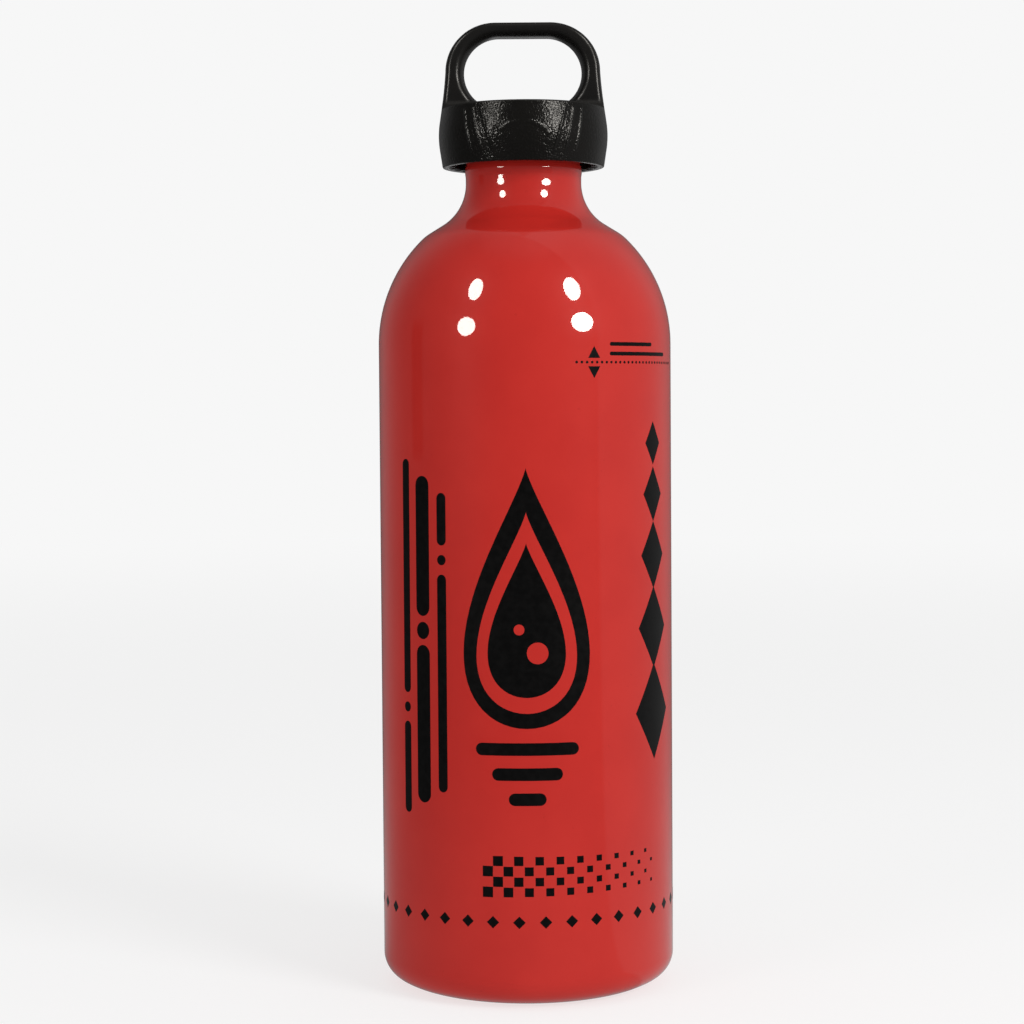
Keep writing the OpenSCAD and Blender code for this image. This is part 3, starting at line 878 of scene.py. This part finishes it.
def floor():
    verts, faces, _, _ = lathe([(0, 0)] + [(r, 0) for r in (300, 900, 2400, 6000)], 96)
    m, nt, b = new_material("floor_paper")
    co = object_coords(nt)
    b.inputs["Roughness"].default_value = 0.9
    b.inputs["Specular IOR Level"].default_value = 0.05
    fine = noise(nt, co, 900.0, 3.0)
    nt.links.new(mix_color(nt, ramp(nt, fine, 0.3, 0.7), (0.30, 0.30, 0.30), (0.31, 0.31, 0.31)), b.inputs["Base Color"])
    # white paper with a soft shadow, which runs out into the pale backdrop
    far = ramp(nt, put(nt, "ShaderNodeVectorMath", {0: co}, operation="LENGTH").outputs["Value"], 0.2, 2.0)
    glow = put(nt, "ShaderNodeEmission", {"Color": (1, 1, 1, 1), "Strength": ramp(nt, far, 0.0, 1.0, 0.70, 0.93, smooth=False)})
    black = put(nt, "ShaderNodeBsdfDiffuse", {"Color": (0, 0, 0, 1)})
    fade = put(nt, "ShaderNodeMixShader", {0: far, 1: b.outputs[0], 2: black.outputs[0]})
    shown = put(nt, "ShaderNodeAddShader", {0: fade.outputs[0], 1: glow.outputs[0]})
    # what the paper throws back, as the bottle's coat and as its colour see it
    path = nt.nodes.new("ShaderNodeLightPath")
    px, py, _ = put(nt, "ShaderNodeSeparateXYZ", {"Vector": co}).outputs
    near = ramp(nt, put(nt, "ShaderNodeVectorMath", {0: co}, operation="LENGTH").outputs["Value"], 0.06, 0.5, 0.10, 0.0)
    # the pale backdrop, seen only in the flat underside of the cap's rim
    back = math_node(nt, "MULTIPLY", ramp(nt, py, 1.7, 1.9), ramp(nt, py, 2.5, 3.0, 1.0, 0.0))
    back = math_node(nt, "MULTIPLY", back, ramp(nt, math_node(nt, "DIVIDE", math_node(nt, "ABSOLUTE", px), py), 0.055, 0.085, 0.75, 0.0))
    # and the paper close behind, seen under the loop's bar
    behind = math_node(nt, "MULTIPLY", ramp(nt, py, 0.12, 0.24), ramp(nt, py, 0.7, 1.1, 0.8, 0.0))
    behind = math_node(nt, "MULTIPLY", behind, ramp(nt, math_node(nt, "DIVIDE", math_node(nt, "ABSOLUTE", px), py), 0.06, 0.22, 1.0, 0.0))
    back = math_node(nt, "MAXIMUM", back, behind)
    total = math_node(nt, "ADD", math_node(nt, "ADD", room(nt, px, py)[1], near), back)
    mirrored = put(nt, "ShaderNodeEmission", {"Color": (1, 1, 1, 1), "Strength": total})
    bounced = put(nt, "ShaderNodeEmission", {"Color": (1, 1, 1, 1), "Strength": 0.72})
    thrown = put(nt, "ShaderNodeMixShader", {0: path.outputs["Is Glossy Ray"], 1: bounced.outputs[0], 2: mirrored.outputs[0]})
    mix = put(nt, "ShaderNodeMixShader", {0: path.outputs["Is Camera Ray"], 1: thrown.outputs[0], 2: shown.outputs[0]})
    out = next(n for n in nt.nodes if n.type == "OUTPUT_MATERIAL")
    nt.links.new(mix.outputs[0], out.inputs["Surface"])
    m.cycles.emission_sampling = "NONE"
    ob = make_object("floor", [(x, y, z - 0.02) for x, y, z in verts], [f[::-1] for f in faces], [m], smooth=False)


def world():
    w = bpy.data.worlds.new("studio")
    scene.world = w
    w.use_nodes = True
    nt = w.node_tree
    nt.nodes.clear()
    out = nt.nodes.new("ShaderNodeOutputWorld")
    d = nt.nodes.new("ShaderNodeTexCoord").outputs["Generated"]
    x, y, z = put(nt, "ShaderNodeSeparateXYZ", {"Vector": d}).outputs

    az, around = room(nt, x, y)
    # a dark gap beside the left screen, low down
    gap = math_node(nt, "MULTIPLY", ramp(nt, az, -101.0, -97.0), ramp(nt, az, -89.0, -85.0, -0.10, 0.0))
    gap = math_node(nt, "MULTIPLY", gap, ramp(nt, z, 0.12, 0.30, 1.0, 0.0))
    level = math_node(nt, "ADD", math_node(nt, "ADD", around, gap), ramp(nt, z, 0.88, 1.0, 0.0, 0.16))
    gloss = put(nt, "ShaderNodeBackground", {"Color": (1, 1, 1, 1), "Strength": level})
    # the light that the surfaces gather, brighter from above
    soft = put(nt, "ShaderNodeBackground", {"Color": (1, 1, 1, 1), "Strength": ramp(nt, z, 0.1, 1.0, 0.255, 0.56)})
    seen = put(nt, "ShaderNodeBackground", {"Color": (1, 1, 1, 1), "Strength": 0.93})
    path = nt.nodes.new("ShaderNodeLightPath")
    lit = put(nt, "ShaderNodeMixShader", {0: path.outputs["Is Glossy Ray"], 1: soft.outputs[0], 2: gloss.outputs[0]})
    mix = put(nt, "ShaderNodeMixShader", {0: path.outputs["Is Camera Ray"], 1: lit.outputs[0], 2: seen.outputs[0]})
    nt.links.new(mix.outputs[0], out.inputs["Surface"])
    w.cycles.sampling_method = "NONE"


def lamp(name, azimuth, elevation, width, height, radiance, gloss, roll=0.0, distance=1.3, aim=(0, 0, 0.12)):
    """A soft elliptical lamp, its width and height in degrees. Azimuth is from the front, to the right."""
    a, e = math.radians(azimuth), math.radians(elevation)
    d = Vector((math.sin(a) * math.cos(e), -math.cos(a) * math.cos(e), math.sin(e)))
    w, h = (2 * distance * math.tan(math.radians(v / 2)) for v in (width, height))
    data = bpy.data.lights.new(name, "AREA")
    data.shape = "ELLIPSE"
    data.size, data.size_y = w, h
    data.energy = radiance * math.pi * math.pi * w * h / 4
    data.color = (1.0, 0.965, 0.90) if gloss else (1.0, 1.0, 1.0)
    ob = bpy.data.objects.new(name, data)
    scene.collection.objects.link(ob)
    ob.location = Vector(aim) + d * distance
    ob.rotation_mode = "QUATERNION"
    ob.rotation_quaternion = Quaternion(d, math.radians(roll)) @ d.to_track_quat("Z", "Y")
    ob.visible_camera = False
    ob.visible_glossy, ob.visible_diffuse = gloss, not gloss
    return ob


def camera():
    yaw, pitch, roll = (math.radians(v) for v in (-0.294, 2.597, -0.401))
    fwd = Vector((math.sin(yaw) * math.cos(pitch), math.cos(yaw) * math.cos(pitch), -math.sin(pitch)))
    right0 = Vector((math.cos(yaw), -math.sin(yaw), 0))
    up0 = right0.cross(fwd)
    right = math.cos(roll) * right0 + math.sin(roll) * up0
    up = -math.sin(roll) * right0 + math.cos(roll) * up0
    data = bpy.data.cameras.new("camera")
    data.sensor_width = 36.0
    data.lens = 85.41
    data.clip_start, data.clip_end = 0.01, 100.0
    ob = bpy.data.objects.new("camera", data)
    scene.collection.objects.link(ob)
    m = Matrix((right, up, -fwd)).transposed().to_4x4()
    m.translation = Vector((-0.00032, -0.6102, 0.14562))
    ob.matrix_world = m
    scene.camera = ob


floor()
world()
lamp("lamp_soft_left", -46, 25, 24.0, 24.0, 2.3, False)
lamp("lamp_soft_right", 46, 25, 24.0, 24.0, 11.4, False)
lamp("lamp_low_left", -46, 13.6, 14.5, 13.0, 25.0, True)
lamp("lamp_low_right", 46, 16.2, 17.5, 13.5, 32.0, True)
lamp("lamp_high_left", -46, 40, 10.5, 16.0, 25.0, True, roll=14)
lamp("lamp_high_right", 45, 40, 12.0, 17.0, 32.0, True, roll=-14)
camera()
scene.view_settings.view_transform = "Standard"
